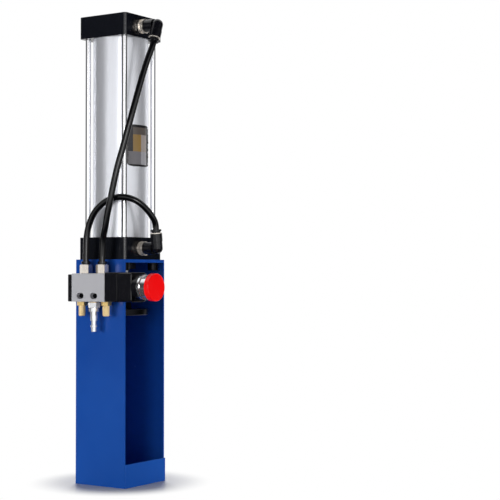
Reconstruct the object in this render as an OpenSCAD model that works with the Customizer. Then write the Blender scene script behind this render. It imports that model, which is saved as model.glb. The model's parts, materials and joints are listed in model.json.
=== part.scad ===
// Pneumatic can crusher.
// A tie-rod air cylinder stands on an open-fronted housing of folded steel. A palm button beside the left
// wall shifts a spool valve, which sends air through one of two hoses and so drives the crush disc.
// Frame: the origin is the middle of the housing's underside, on the cylinder's axis.
// +X is the operator's right, +Y the back and +Z up. At rest the ram is up and the button is out.

/* [Cylinder] */
// Bore of the cylinder
bore_d = 63; // [55:1:70]
// Wall of the barrel
barrel_wall = 4; // [2.5:0.5:6]
// Stroke of the ram
stroke = 200; // [150:5:205]
// Length of the piston
piston_l = 30; // [26:1:40]
// Air gap at each end of the piston's travel
end_gap = 4; // [2:0.5:8]
// Height of each end cap
cap_h = 28; // [26:1:36]
// Round on the upright edges of the end caps
cap_edge_r = 3.5; // [1:0.5:5]
// Length of the end caps' spigots inside the barrel
spigot_l = 8; // [7:0.5:12]
// Diameter of the tie rods
tie_d = 7; // [5:0.5:7.5]
// Least gap between a tie rod and the barrel
tie_gap = 2.7; // [1:0.1:5]
// Centre of a tie rod to the side of its end cap
tie_edge = 8; // [7.5:0.5:12]
// Diameter of the sunk tie rod nuts
tie_nut_d = 12.5; // [12:0.5:13]
// Length of the sunk tie rod nuts
tie_nut_l = 15; // [12:0.5:18]
// Diameter of the cushion chamber in each end cap
cushion_d = 32; // [30:1:36]
// Width of the label around the barrel
label_w = 38; // [20:1:60]
// Middle of the label to the left of the barrel's front
label_left = 4.75; // [0:0.25:8]
// Height of the label
label_h = 53; // [20:1:80]
// Underside of the label above the lower end cap
label_z = 90; // [20:1:120]

/* [Ram] */
// Diameter of the piston rod
rod_d = 20; // [18:1:22]
// Diameter of the thread at the rod's lower end
rod_thread_d = 16; // [12:1:16]
// Length of that thread, measured from the crush face
rod_thread_l = 30; // [24:1:36]
// Diameter of the rod's upper nose, which holds the piston
rod_nose_d = 14; // [10:1:16]
// Crush face below the lower end cap with the ram up
crush_drop = 71; // [62:1:80]
// Thickness of the crush disc
disc_t = 8; // [6:0.5:12]
// Solid floor of the disc under the rod's thread
disc_floor = 2; // [1:0.5:4]
// Chamfer on the disc's lower edge
disc_chamfer = 1; // [0.5:0.25:2]
// Gap between the disc and the housing walls
disc_gap = 3.5; // [3:0.5:8]
// Jam nut across its flats
jam_nut_af = 24; // [22:1:27]
// Height of the jam nut
jam_nut_h = 10; // [6:0.5:13]

/* [Housing] */
// Height of the housing with its top plate
housing_h = 285; // [280:1:330]
// Ledge of the housing past the cylinder on the left and right
side_ledge = 3.5; // [3:0.5:10]
// Ledge of the housing past the cylinder at the front and back
end_ledge = 4; // [4:0.5:10]
// Thickness of the folded sheet
sheet_t = 2; // [1.5:0.25:2.5]
// Outside radius of the two folds at the back
fold_r = 4; // [3.5:0.5:8]
// Thickness of the floor plate
floor_t = 3; // [2:0.5:6]
// Height of the front lip
lip_h = 29.5; // [15:0.5:45]
// Thickness of the top plate
top_plate_t = 4; // [3:0.5:6]
// Diameter of the wall fixing holes
wall_hole_d = 6.5; // [5:0.5:9]
// Wall fixing holes, side to side
wall_hole_across = 40; // [24:1:50]
// Wall fixing holes, low to high
wall_hole_up = 120; // [60:5:130]
// Height of the lower wall fixing holes
wall_hole_z = 60; // [45:1:70]
// Diameter of the cylinder fixing screws
screw_d = 7.8; // [6:0.1:7.8]
// Head diameter of the cylinder fixing screws
screw_head_d = 13; // [11:0.5:13]
// Head height of the cylinder fixing screws
screw_head_h = 8; // [5:0.5:9]
// Thickness of the lock washers
washer_t = 2; // [1:0.25:3]

/* [Valve] */
// Thickness of the valve body
valve_t = 22; // [20:0.5:26]
// Length of the valve body
valve_l = 53; // [52.5:0.5:60]
// Middle of the valve body behind the middle of its ports
body_behind = 0.75; // [0:0.25:1.5]
// Height of the valve body
valve_h = 35.5; // [34:0.5:40]
// Spool axis above the valve body's underside
spool_rise = 18.5; // [18:0.5:20]
// Spool axis below the housing's top
valve_drop = 34.6; // [30:0.2:45]
// Middle of the valve's ports behind the cylinder's axis
valve_y = 0.5; // [-2:0.5:3]
// Air outlets on the valve's top, centre to centre
outlet_pitch = 26; // [24:0.5:28]
// Exhaust ports on the valve's underside, centre to centre
exhaust_pitch = 38.8; // [38:0.2:42]
// Length of the black end cap at the back of the valve
end_cap_l = 6; // [5.5:0.5:9]
// Length of the actuator block in front of the valve body
actuator_l = 19.7; // [15:0.1:24]
// Height of the actuator and button blocks
block_h = 36.5; // [32:0.5:40]
// Thickness of the adapter plate
adapter_t = 5.8; // [3:0.2:8]
// Spool bore
spool_bore_d = 12; // [11:0.5:13]

/* [Button] */
// Length of the button block
button_block_l = 19.3; // [17:0.1:26]
// Width of the button block
button_block_w = 29; // [26:0.5:34]
// Diameter of the black collar behind the bezel
collar_d = 31.4; // [24:0.2:36]
// Length of the black collar
collar_l = 8; // [4:0.5:12]
// Diameter of the bright bezel's rim
bezel_d = 31; // [29:0.5:36]
// Length of the bezel's rim
bezel_rim_l = 3.6; // [2:0.2:6]
// Diameter of the bezel's neck
bezel_neck_d = 28.6; // [20:0.2:28.6]
// Length of the bezel's neck
bezel_neck_l = 7.8; // [7:0.2:12]
// Diameter of the red palm button
button_d = 34; // [33:0.5:44]
// Depth of the button's rim
button_rim = 6.5; // [6.5:0.5:10]
// Round on the button's front edge
button_edge_r = 2; // [1:0.25:3]
// Rise of the button's dome
button_dome = 1; // [1:0.25:3]
// Travel of the button
button_travel = 5.5; // [4:0.25:6]
// Diameter of the button's stem
stem_d = 10; // [8:0.5:11]

/* [Air fittings] */
// Outside diameter of the hoses
tube_d = 8; // [6:0.5:8]
// Hose fittings across their flats
fitting_af = 14; // [14:0.5:17]
// Height of the straight fittings' hexagon
fitting_h = 11; // [10:0.5:16]
// Cylinder port to the left of the cylinder's axis
port_left = 5; // [0:0.5:6]
// Thread diameter of the cylinder ports
port_d = 16.5; // [13:0.5:17]
// Thread diameter of the valve's ports
valve_port_d = 9.7; // [9.2:0.1:10]
// Diameter of the elbows' bright base
elbow_base_d = 18; // [17:0.5:20]
// Length of the elbows' bright base
elbow_base_l = 7; // [5:0.5:9]
// Cap face to the middle of the elbow's outlet
elbow_reach = 25.4; // [22:0.2:30]
// Diameter of the elbow's inlet leg
elbow_inlet_d = 15.6; // [14:0.2:17]
// Diameter of the elbow's knuckle and outlet leg
elbow_outlet_d = 14.2; // [14:0.2:17]
// Length of the elbow's outlet leg
elbow_outlet_l = 18.5; // [16:0.5:24]
// Lean of the lower elbow's outlet towards the left
lower_elbow_lean = 7; // [0:1:15]
// Lean of the upper elbow's outlet towards the left
upper_elbow_lean = 20; // [10:1:30]
// Length of the silencers' sintered elements
silencer_l = 13; // [8:0.5:20]
// Tip diameter of the air inlet plug
plug_tip_d = 6.8; // [6:0.1:7.5]
// Neck diameter of the air inlet plug
plug_neck_d = 9; // [8.5:0.1:10]

/* [Fits] */
// Radial gap of a sliding or turning fit
run_gap = 0.05; // [0.02:0.01:0.1]
// Radial gap of a pressed or screwed fit
seat_gap = 0.02; // [0.01:0.01:0.05]
// Radial gap of a bolt, tie rod or hose in its hole
slip_gap = 0.25; // [0.2:0.05:0.4]

/* [Hidden] */
$fn = 64;
cut = 1;

// Cylinder, from the inside out
bore_r = bore_d / 2;
barrel_r = bore_r + barrel_wall;
tie_pitch = ceil(sqrt(2) * (barrel_r + tie_gap + tie_d / 2));
cap_w = tie_pitch + 2 * tie_edge;
cap_front = -cap_w / 2;
barrel_l = stroke + piston_l + 2 * (spigot_l + end_gap);
lower_cap_z = housing_h;
barrel_z = lower_cap_z + cap_h;
barrel_top = barrel_z + barrel_l;
upper_cap_z = barrel_top + cap_h;
tie_nut_sink = 0.5;
tie_thread_l = 7;
tie_rod_in = tie_nut_sink + tie_nut_l - tie_thread_l;
socket_af = 8.2;
socket_l = tie_nut_l - tie_thread_l;
chamber_in = 12;
boss_d = 40;
boss_l = 12;
bush_wall = 3;
wiper_wall = 5;
bush_d = rod_d + 2 * bush_wall;
wiper_d = rod_d + 2 * wiper_wall;
wiper_l = 6;
seal_ring_d = 2.4;
seal_ring_in = 3;
port_in = cap_h / 2;
port_l = 11;
port_end_gap = 1;
air_hole_d = 7;
air_hole_over = 2;
needle_d = 6;
needle_l = 12;
needle_ahead = 18.7;
needle_in = 16;
needle_sink = 0.5;
needle_slot_w = 1;
needle_slot_in = 1.5;

// Ram
piston_top = barrel_top - spigot_l - end_gap;
piston_z = piston_top - piston_l;
crush_z = lower_cap_z - crush_drop;
disc_top = crush_z + disc_t;
piston_gap = 0.4;
groove_land = 3;
groove_w = 4;
groove_depth = 4;
guide_w = 8;
guide_depth = 2.5;
groove_zs = [piston_z + groove_land, piston_top - groove_land - groove_w];
guide_z = (piston_z + piston_top - guide_w) / 2;
sleeve_wall = 4;
sleeve_l = 14;
piston_nut_af = 22;
piston_nut_h = 10;
rod_nose_proud = 2;

// Housing
housing_w = cap_w + 2 * side_ledge;
housing_d = cap_w + 2 * end_ledge;
housing_front = -housing_d / 2;
housing_back = housing_d / 2;
wall_front = housing_front + sheet_t;
wall_h = housing_h - top_plate_t;
inside_w = housing_w - 2 * sheet_t;
inside_back = housing_back - sheet_t;
floor_corner_relief = 1;
floor_corner_r = fold_r + floor_corner_relief;
disc_d = min(inside_w, housing_d - 2 * sheet_t) - 2 * disc_gap;
screw_key_af = 6;
screw_key_l = 4;
screw_in = 6;
screw_slack = 0.5;

// Valve, along Y from its back end to the button
valve_x = -(housing_w + valve_t) / 2;
valve_z = housing_h - valve_drop;
valve_bottom = valve_z - spool_rise;
valve_top = valve_bottom + valve_h;
valve_back = valve_y + body_behind + valve_l / 2;
valve_front = valve_y + body_behind - valve_l / 2;
adapter_y = valve_front - actuator_l;
block_y = adapter_y - adapter_t;
collar_y = block_y - button_block_l;
bezel_y = collar_y - collar_l;
bezel_front = bezel_y - bezel_rim_l - bezel_neck_l;
skirt_gap = 1.5;
button_back = bezel_front - skirt_gap;
skirt_slack = 0.8;
skirt_end_gap = 1.5;
button_hollow_d = bezel_neck_d + 2 * skirt_slack;
button_hollow_in = button_travel - skirt_gap + skirt_end_gap;
stem_socket_in = 1;
outlet_ys = [valve_y + outlet_pitch / 2, valve_y - outlet_pitch / 2];
exhaust_ys = [valve_y + exhaust_pitch / 2, valve_y - exhaust_pitch / 2];
port_thread_l = 5.5;
port_hole_d = 5;
body_edge_r = 1.5;
block_edge_r = 3;
end_cap_short = 1.2;
pocket_d = 10;
end_cap_floor = 1.5;
pocket_l = end_cap_l - end_cap_floor;
valve_screw_behind = 13.5;
valve_screw_ahead = 8.5;
valve_screw_rise = 7.3;
valve_screw_ys = [valve_y + valve_screw_behind, valve_y - valve_screw_ahead];
valve_screw_z = valve_bottom + valve_screw_rise;
valve_screw_d = 3;
valve_screw_head_d = 6;
valve_screw_head_l = 3;
valve_screw_room_d = 7.6;
valve_screw_slot_l = 3.6;
valve_screw_sink = 2;
valve_screw_proud = 0.5;
valve_nut_af = 5.5;
valve_nut_h = 2.4;
cap_screw_d = 3;
cap_screw_head_d = 5.5;
cap_screw_head_l = 2.5;
cap_screw_in = 8;
cap_screw_seat = valve_back + end_cap_l - cap_screw_head_l;
cap_screw_offset = [-6.8, 12];

// Spool, its seals and both springs
rear_land = 16.5;
middle_land = 2.5;
front_land = 22.5;
land_ys = [valve_y + rear_land, valve_y - middle_land, valve_y - front_land];
land_l = 5;
land_gap = 0.2;
spool_ring_d = 1.8;
spool_stem_d = 6.4;
spool_tail = 22.5;
spool_nose = 12.7;
spool_back = valve_y + spool_tail;
spool_tip = valve_front - spool_nose;
tip_gap = 0.1;
actuator_bore_d = 12;
spring_room_d = 17;
spring_floor = 3.2;
flange_d = 14;
flange_t = 2;
flange_gap = 0.5;
button_spring_d = 13.2;
button_wire_d = 1;
button_turns = 6;
spool_spring_d = 7.6;
spool_wire_d = 0.7;
spool_turns = 4;
spring_ground = 0.1;
coil_steps = 8;
wire_sides = 6;

// Push-in fittings, measured inwards from the mouth
tube_r = tube_d / 2;
collar_wall = 1.4;
sleeve_r = tube_r + collar_wall;
recess_r = sleeve_r + slip_gap;
elbow_collar_lip = 1.5;
valve_collar_lip = 0.5;
collar_travel = 1;
collar_stop_gap = 0.2;
collar_gap = collar_travel + collar_stop_gap;
collar_t = 2.8;
collar_in = 6;
recess_in = 10;
seal_h = 2.4;
tube_in = 13;
ring_t = 1.2;
ring_step = 0.4;
elbow_sleeve_step = 0.5;
elbow_sleeve_d = elbow_outlet_d + 2 * elbow_sleeve_step;
elbow_sleeve_l = recess_in;
elbow_inlet_end = elbow_reach - elbow_outlet_d / 3;
fitting_hole_d = 5;
silencer_af = 11.5;
silencer_hex_h = 5;
silencer_d = 8.8;
plug_af = 13;
plug_hex_h = 6.4;
plug_collar_d = 12.8;
plug_hole_d = 4.4;
inlet_washer_t = 1;
plug_steps = [inlet_washer_t + plug_hex_h, 12.4, 23.9, 29.3, 31.7, 37.5];

// Hose routes: points between the fittings, with heights above the housing's top
lower_bends = [
    [-52, 12.5, 29],
    [-51, 8.5, 46],
    [-49.5, 1, 60],
    [-47, -10, 70.5],
    [-43.5, -21, 76],
    [-38.5, -33, 78],
    [-32.5, -44, 75.5],
    [-26, -52, 70],
    [-19, -58, 61.5],
    [-13, -61.8, 52.5]
];
upper_bends = [
    [-53, -14.5, 25],
    [-54.5, -19, 38],
    [-55, -23, 55],
    [-54.5, -27, 72],
    [-53.5, -30.5, 89],
    [-51.5, -36, 114],
    [-47.5, -42, 140],
    [-42.5, -47.5, 168],
    [-37.5, -51.3, 191],
    [-30.8, -55.2, 218],
    [-23, -59, 245]
];
hose_sides = 12;
hose_steps = 2;
straight_run = 8;
hose_side_way = [0.87, 0.5, 0];

paint_blue = [0.13, 0.30, 0.60];
satin_black = [0.08, 0.08, 0.09];
black_plastic = [0.06, 0.06, 0.065];
bright_steel = [0.80, 0.81, 0.83];
dark_steel = [0.22, 0.22, 0.24];
aluminium = [0.74, 0.75, 0.77];
nickel = [0.78, 0.77, 0.74];
brass = [0.72, 0.57, 0.28];
rubber = [0.05, 0.05, 0.05];
signal_red = [0.80, 0.07, 0.08];
white_plastic = [0.85, 0.85, 0.82];

// Shapes that several pieces share

module rod_z(z0, z1, d) {
    translate([0, 0, z0])
        cylinder(h = z1 - z0, d = d);
}

module rod_y(y0, y1, d) {
    translate([0, y0, 0])
        rotate([-90, 0, 0])
            cylinder(h = y1 - y0, d = d);
}

module rod_x(x0, x1, d) {
    translate([x0, 0, 0])
        rotate([0, 90, 0])
            cylinder(h = x1 - x0, d = d);
}

// Slot along X, round at both ends, whose ends' middles are l apart along Y
module slot_x(x0, x1, d, l) {
    for (s = [-1, 1])
        translate([0, s * l / 2, 0])
            rod_x(x0, x1, d);
    translate([x0, -l / 2, -d / 2])
        cube([x1 - x0, l, d]);
}

module ring_z(z0, z1, d_out, d_in) {
    difference() {
        rod_z(z0, z1, d_out);
        rod_z(z0 - cut, z1 + cut, d_in);
    }
}

module hex_z(z0, z1, af) {
    translate([0, 0, z0])
        cylinder(h = z1 - z0, d = af / cos(30), $fn = 6);
}

module seal_torus(mid_d, ring_d) {
    rotate_extrude()
        translate([mid_d / 2, 0])
            circle(d = ring_d, $fn = 24);
}

module rounded_square(w, h, r) {
    square([w - 2 * r, h], center = true);
    square([w, h - 2 * r], center = true);
    for (sx = [-1, 1], sy = [-1, 1])
        translate([sx * (w / 2 - r), sy * (h / 2 - r)])
            circle(r = r);
}

// Flat outline with a square front and round corners at the back
module back_rounded(w, y0, y1, r) {
    translate([-w / 2, y0])
        square([w, y1 - r - y0]);
    translate([r - w / 2, y0])
        square([w - 2 * r, y1 - y0]);
    for (s = [-1, 1])
        translate([s * (w / 2 - r), y1 - r])
            circle(r = r);
}

// Block with rounded long edges, running along Y about the spool's axis
module long_block(y0, y1, w, h, r) {
    translate([0, y1, 0])
        rotate([90, 0, 0])
            linear_extrude(y1 - y0)
                rounded_square(w, h, r);
}

module at_tie_rods() {
    for (sx = [-1, 1], sy = [-1, 1])
        translate([sx * tie_pitch / 2, sy * tie_pitch / 2, 0])
            children();
}

module on_spool_axis() {
    translate([valve_x, 0, valve_z])
        children();
}

// Frames of the two end caps: Z runs from the cap's outer face towards the barrel
module lower_cap_frame() {
    translate([0, 0, lower_cap_z])
        children();
}

module upper_cap_frame() {
    translate([0, 0, upper_cap_z])
        mirror([0, 0, 1])
            children();
}

// Place of a cushion needle in a cap's frame: Y runs in from the middle of the needle's hole in the right face
module needle_frame() {
    translate([cap_w / 2, -needle_ahead, needle_in])
        rotate([0, 0, 90])
            children();
}

// Frames of the two cylinder ports: Z runs out of the cap's front face, Y along the elbow's outlet
module lower_port_frame() {
    translate([-port_left, cap_front, lower_cap_z + port_in])
        rotate([90, 0, 0])
            rotate([0, 0, lower_elbow_lean])
                children();
}

module upper_port_frame() {
    translate([-port_left, cap_front, upper_cap_z - port_in])
        rotate([90, 0, 0])
            rotate([0, 0, 180 - upper_elbow_lean])
                children();
}

// Mouth of an elbow's outlet: Z runs out along the hose
module elbow_mouth_frame() {
    translate([0, elbow_outlet_l, elbow_reach])
        rotate([-90, 0, 0])
            children();
}

module valve_mouth_frame(port_y) {
    translate([valve_x, port_y, valve_top + fitting_h])
        children();
}

module at_every_mouth() {
    for (port_y = outlet_ys)
        valve_mouth_frame(port_y)
            children();
    lower_port_frame()
        elbow_mouth_frame()
            children();
    upper_port_frame()
        elbow_mouth_frame()
            children();
}

// Sweeps: a round tube along points, with the way that turns its rings to one side

function unit(v) = v / norm(v);
function way_at(p, i) = unit(p[min(i + 1, len(p) - 1)] - p[max(i - 1, 0)]);
function sweep_ring(centre, way, side, r, n) =
    let (u = unit(cross(way, side)), w = cross(way, u))
    [for (k = [0 : n - 1]) centre + r * (cos(360 * k / n) * u + sin(360 * k / n) * w)];
function between(a, b, c, d, t) =
    b + 0.5 * t * ((c - a) + t * ((2 * a - 5 * b + 4 * c - d) + t * (3 * b - a - 3 * c + d)));
function finer(p, steps) = [
    for (i = [0 : len(p) - 2], j = [0 : steps - 1])
        between(p[max(i - 1, 0)], p[i], p[i + 1], p[min(i + 2, len(p) - 1)], j / steps),
    p[len(p) - 1]
];

module swept_tube(p, side, r, n) {
    last = len(p) - 1;
    corners = [for (i = [0 : last]) each sweep_ring(p[i], way_at(p, i), side, r, n)];
    walls = [
        for (i = [0 : last - 1], k = [0 : n - 1])
            let (a = i * n + k, b = i * n + (k + 1) % n)
            each [[a, b, b + n], [a, b + n, a + n]]
    ];
    ends = [for (k = [1 : n - 2]) each [[0, k + 1, k], [last * n, last * n + k, last * n + k + 1]]];
    polyhedron(corners, concat(walls, ends), convexity = 6);
}

// Spring along Y, from y0 to y1 at the outside of its end wires
function coil_points(y0, y1, mean_d, wire_d, turns) = [
    for (k = [0 : coil_steps * turns])
        let (
            a = 360 * k / coil_steps,
            y = y0 + wire_d / 2 + (y1 - y0 - wire_d) * k / (coil_steps * turns)
        )
        [mean_d / 2 * cos(a), y, mean_d / 2 * sin(a)]
];
function least_gap(p, wire_d) =
    let (half_turn = coil_steps / 2)
    min([
        for (i = [0 : len(p) - 1 - half_turn], j = [i + half_turn : len(p) - 1])
            norm(p[i] - p[j])
    ]) - wire_d;

module coil_spring(y0, y1, mean_d, wire_d, turns, name) {
    p = coil_points(y0, y1, mean_d, wire_d, turns);
    echo(spring = name, least_gap_to_itself = least_gap(p, wire_d));
    swept_tube(p, [0, 1, 0], wire_d / 2, wire_sides);
}

// Housing

module housing_channel() {
    color(paint_blue)
        difference() {
            linear_extrude(wall_h)
                difference() {
                    back_rounded(housing_w, wall_front, housing_back, fold_r);
                    back_rounded(inside_w, wall_front - cut, inside_back, fold_r - sheet_t);
                }
            for (sx = [-1, 1], z = [wall_hole_z, wall_hole_z + wall_hole_up])
                translate([sx * wall_hole_across / 2, 0, z])
                    rod_y(inside_back - cut, housing_back + cut, wall_hole_d);
            for (y = valve_screw_ys)
                translate([0, y, valve_screw_z])
                    rod_x(-housing_w / 2 - cut, -inside_w / 2 + cut, valve_screw_d + 2 * slip_gap);
        }
}

module floor_plate() {
    color(paint_blue)
        linear_extrude(floor_t)
            back_rounded(inside_w, wall_front, inside_back, floor_corner_r);
}

module front_lip() {
    color(paint_blue)
        translate([-housing_w / 2, housing_front, 0])
            cube([housing_w, sheet_t, lip_h]);
}

module top_plate() {
    color(paint_blue)
        translate([0, 0, wall_h])
            difference() {
                linear_extrude(top_plate_t)
                    back_rounded(housing_w, wall_front, housing_back, fold_r);
                rod_z(-cut, top_plate_t + cut, boss_d + 2 * slip_gap);
                at_tie_rods()
                    rod_z(-cut, top_plate_t + cut, screw_d + 2 * screw_slack);
            }
}

module mounting_screws() {
    head_top = wall_h - washer_t;
    color(dark_steel)
        at_tie_rods()
            difference() {
                union() {
                    rod_z(head_top - screw_head_h, head_top, screw_head_d);
                    rod_z(head_top - cut, housing_h + screw_in, screw_d);
                }
                hex_z(head_top - screw_head_h - cut, head_top - screw_head_h + screw_key_l, screw_key_af);
            }
}

module lock_washers() {
    color(dark_steel)
        at_tie_rods()
            ring_z(wall_h - washer_t, wall_h, screw_head_d, screw_d + 2 * slip_gap);
}

// Cylinder

// What both end caps share, with Z from the outer face towards the barrel
module cap_form() {
    spigot_r = bore_r - 2 * run_gap;
    difference() {
        union() {
            linear_extrude(cap_h)
                rounded_square(cap_w, cap_w, cap_edge_r);
            rod_z(cap_h - cut, cap_h + spigot_l, 2 * spigot_r);
        }
        rod_z(chamber_in, cap_h + spigot_l + cut, cushion_d);
        at_tie_rods() {
            rod_z(-cut, cap_h + cut, tie_d + 2 * slip_gap);
            rod_z(-cut, tie_nut_sink + tie_nut_l, tie_nut_d + 2 * slip_gap);
        }
        translate([-port_left, 0, port_in]) {
            rod_y(cap_front - cut, cap_front + port_l, port_d + 2 * seat_gap);
            rod_y(cap_front, air_hole_over - cushion_d / 2, air_hole_d);
        }
        needle_frame()
            rod_y(-cut, needle_l, needle_d + 2 * run_gap);
        translate([0, 0, cap_h + seal_ring_in])
            ring_z(0, seal_ring_d, bore_d + 2 * cut, bore_d - 2 * seal_ring_d);
    }
}

module front_cap() {
    color(satin_black)
        lower_cap_frame()
            difference() {
                union() {
                    cap_form();
                    rod_z(-boss_l, cut, boss_d);
                }
                rod_z(-boss_l - cut, chamber_in + cut, bush_d);
                rod_z(-boss_l - cut, wiper_l - boss_l, wiper_d);
            }
}

module rear_cap() {
    color(satin_black)
        upper_cap_frame()
            cap_form();
}

module cylinder_barrel() {
    color(aluminium)
        ring_z(barrel_z, barrel_top, 2 * barrel_r, bore_d);
}

module barrel_label() {
    label_t = 0.3;
    label_turn = label_w / barrel_r * 180 / PI;
    label_aside = label_left / barrel_r * 180 / PI;
    color(dark_steel)
        translate([0, 0, barrel_z + label_z])
            rotate([0, 0, 270 - label_aside - label_turn / 2])
                rotate_extrude(angle = label_turn)
                    translate([barrel_r + seat_gap, 0])
                        square([label_t, label_h]);
}

module tie_rods() {
    color(bright_steel)
        at_tie_rods()
            rod_z(lower_cap_z + tie_rod_in, upper_cap_z - tie_rod_in, tie_d);
}

module tie_rod_nut() {
    translate([0, 0, tie_nut_sink])
        difference() {
            rod_z(0, tie_nut_l, tie_nut_d);
            hex_z(-cut, socket_l, socket_af);
            rod_z(socket_l - cut, tie_nut_l + cut, tie_d + 2 * seat_gap);
        }
}

module tie_rod_nuts() {
    color(bright_steel) {
        lower_cap_frame()
            at_tie_rods()
                tie_rod_nut();
        upper_cap_frame()
            at_tie_rods()
                tie_rod_nut();
    }
}

module rod_bush() {
    color(brass)
        lower_cap_frame()
            ring_z(wiper_l - boss_l, chamber_in, bush_d - 2 * seat_gap, rod_d + 2 * run_gap);
}

module rod_seal() {
    color(rubber)
        lower_cap_frame()
            ring_z(-boss_l, wiper_l - boss_l, wiper_d - 2 * seat_gap, rod_d + 2 * run_gap);
}

module barrel_seal() {
    translate([0, 0, cap_h + seal_ring_in + seal_ring_d / 2])
        seal_torus(bore_d - seal_ring_d - 2 * seat_gap, seal_ring_d - 2 * seat_gap);
}

module barrel_seals() {
    color(rubber) {
        lower_cap_frame()
            barrel_seal();
        upper_cap_frame()
            barrel_seal();
    }
}

// Screw with a slot, just under the cap's right face
module cushion_needle() {
    needle_frame()
        difference() {
            rod_y(needle_sink, needle_l, needle_d);
            translate([-needle_d, -cut, -needle_slot_w / 2])
                cube([2 * needle_d, cut + needle_slot_in, needle_slot_w]);
        }
}

module lower_cushion_needle() {
    color(brass)
        lower_cap_frame()
            cushion_needle();
}

module upper_cushion_needle() {
    color(brass)
        upper_cap_frame()
            cushion_needle();
}

// Ram

module piston() {
    color(aluminium)
        difference() {
            rod_z(piston_z, piston_top, bore_d - 2 * piston_gap);
            rod_z(piston_z - cut, piston_top + cut, rod_nose_d + 2 * seat_gap);
            for (z = groove_zs)
                ring_z(z, z + groove_w, bore_d + cut, bore_d - 2 * groove_depth);
            ring_z(guide_z, guide_z + guide_w, bore_d + cut, bore_d - 2 * guide_depth);
        }
}

module piston_seals() {
    color(rubber)
        for (z = groove_zs)
            ring_z(z + seat_gap, z + groove_w - seat_gap,
                bore_d - 2 * run_gap, bore_d - 2 * groove_depth + 2 * seat_gap);
}

module piston_guide_ring() {
    color(white_plastic)
        ring_z(guide_z + seat_gap, guide_z + guide_w - seat_gap,
            bore_d - 2 * run_gap, bore_d - 2 * guide_depth + 2 * seat_gap);
}

module cushion_sleeve() {
    color(brass)
        ring_z(piston_z - sleeve_l, piston_z, rod_d + 2 * sleeve_wall, rod_d + 2 * seat_gap);
}

module piston_nut() {
    color(bright_steel)
        difference() {
            hex_z(piston_top, piston_top + piston_nut_h, piston_nut_af);
            rod_z(piston_top - cut, piston_top + piston_nut_h + cut, rod_nose_d + 2 * seat_gap);
        }
}

module piston_rod() {
    color(bright_steel) {
        rod_z(crush_z + disc_floor, crush_z + rod_thread_l + cut, rod_thread_d);
        rod_z(crush_z + rod_thread_l, piston_z, rod_d);
        rod_z(piston_z - cut, piston_top + piston_nut_h + rod_nose_proud, rod_nose_d);
    }
}

module jam_nut() {
    color(dark_steel)
        difference() {
            hex_z(disc_top, disc_top + jam_nut_h, jam_nut_af);
            rod_z(disc_top - cut, disc_top + jam_nut_h + cut, rod_thread_d + 2 * seat_gap);
        }
}

module crush_disc() {
    color(dark_steel)
        difference() {
            rotate_extrude()
                polygon([
                    [0, crush_z],
                    [disc_d / 2 - disc_chamfer, crush_z],
                    [disc_d / 2, crush_z + disc_chamfer],
                    [disc_d / 2, disc_top],
                    [0, disc_top]
                ]);
            rod_z(crush_z + disc_floor, disc_top + cut, rod_thread_d + 2 * seat_gap);
        }
}

// Valve

module valve_body() {
    screw_hole_d = valve_screw_d + 2 * slip_gap;
    face_x = valve_x - valve_t / 2;
    color(aluminium)
        difference() {
            on_spool_axis()
                translate([0, 0, valve_h / 2 - spool_rise])
                    long_block(valve_front, valve_back, valve_t, valve_h, body_edge_r);
            on_spool_axis()
                rod_y(valve_front - cut, valve_back + cut, spool_bore_d);
            for (y = outlet_ys)
                translate([valve_x, y, 0]) {
                    rod_z(valve_top - port_thread_l, valve_top + cut, valve_port_d + 2 * seat_gap);
                    rod_z(valve_z, valve_top, port_hole_d);
                }
            for (y = concat(exhaust_ys, [valve_y]))
                translate([valve_x, y, 0]) {
                    rod_z(valve_bottom - cut, valve_bottom + port_thread_l, valve_port_d + 2 * seat_gap);
                    rod_z(valve_bottom, valve_z, port_hole_d);
                }
            for (y = valve_screw_ys)
                translate([0, y, valve_screw_z]) {
                    rod_x(face_x - cut, face_x + valve_t + cut, screw_hole_d);
                    slot_x(face_x - cut, face_x + valve_screw_sink + valve_screw_head_l,
                        valve_screw_room_d, valve_screw_slot_l);
                }
            on_spool_axis()
                at_cap_screws()
                    rod_y(valve_back - cap_screw_in - cut, valve_back + cut, cap_screw_d + 2 * seat_gap);
        }
}

module at_cap_screws() {
    for (s = [-1, 1])
        translate([s * cap_screw_offset[0], 0, s * cap_screw_offset[1]])
            children();
}

module valve_end_cap() {
    line_w = 0.6;
    line_depth = 0.5;
    cap_face = -valve_t / 2;
    color(black_plastic)
        on_spool_axis()
            difference() {
                translate([0, 0, (valve_h - end_cap_short) / 2 - spool_rise])
                    long_block(valve_back, valve_back + end_cap_l,
                        valve_t, valve_h - end_cap_short, body_edge_r);
                rod_y(valve_back - cut, valve_back + pocket_l, pocket_d);
                at_cap_screws() {
                    rod_y(valve_back - cut, valve_back + end_cap_l + cut, cap_screw_d + 2 * slip_gap);
                    rod_y(cap_screw_seat, valve_back + end_cap_l + cut, cap_screw_head_d + 2 * slip_gap);
                }
                for (k = [1, 2])
                    translate([cap_face - cut, valve_back + k * end_cap_l / 3 - line_w / 2, -valve_h])
                        cube([cut + line_depth, line_w, 2 * valve_h]);
            }
}

module end_cap_screws() {
    color(dark_steel)
        on_spool_axis()
            at_cap_screws() {
                rod_y(valve_back - cap_screw_in, cap_screw_seat + cut, cap_screw_d);
                rod_y(cap_screw_seat, cap_screw_seat + cap_screw_head_l, cap_screw_head_d);
            }
}

module valve_screws() {
    head_x = valve_x - valve_t / 2 + valve_screw_sink;
    color(dark_steel)
        for (y = valve_screw_ys)
            translate([0, y, valve_screw_z])
                difference() {
                    union() {
                        rod_x(head_x, head_x + valve_screw_head_l, valve_screw_head_d);
                        rod_x(head_x + cut, valve_nut_h + valve_screw_proud - inside_w / 2, valve_screw_d);
                    }
                    translate([head_x, 0, 0])
                        rotate([0, 90, 0])
                            hex_z(-cut, valve_screw_head_l / 2, valve_screw_head_d / 2);
                }
}

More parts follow.
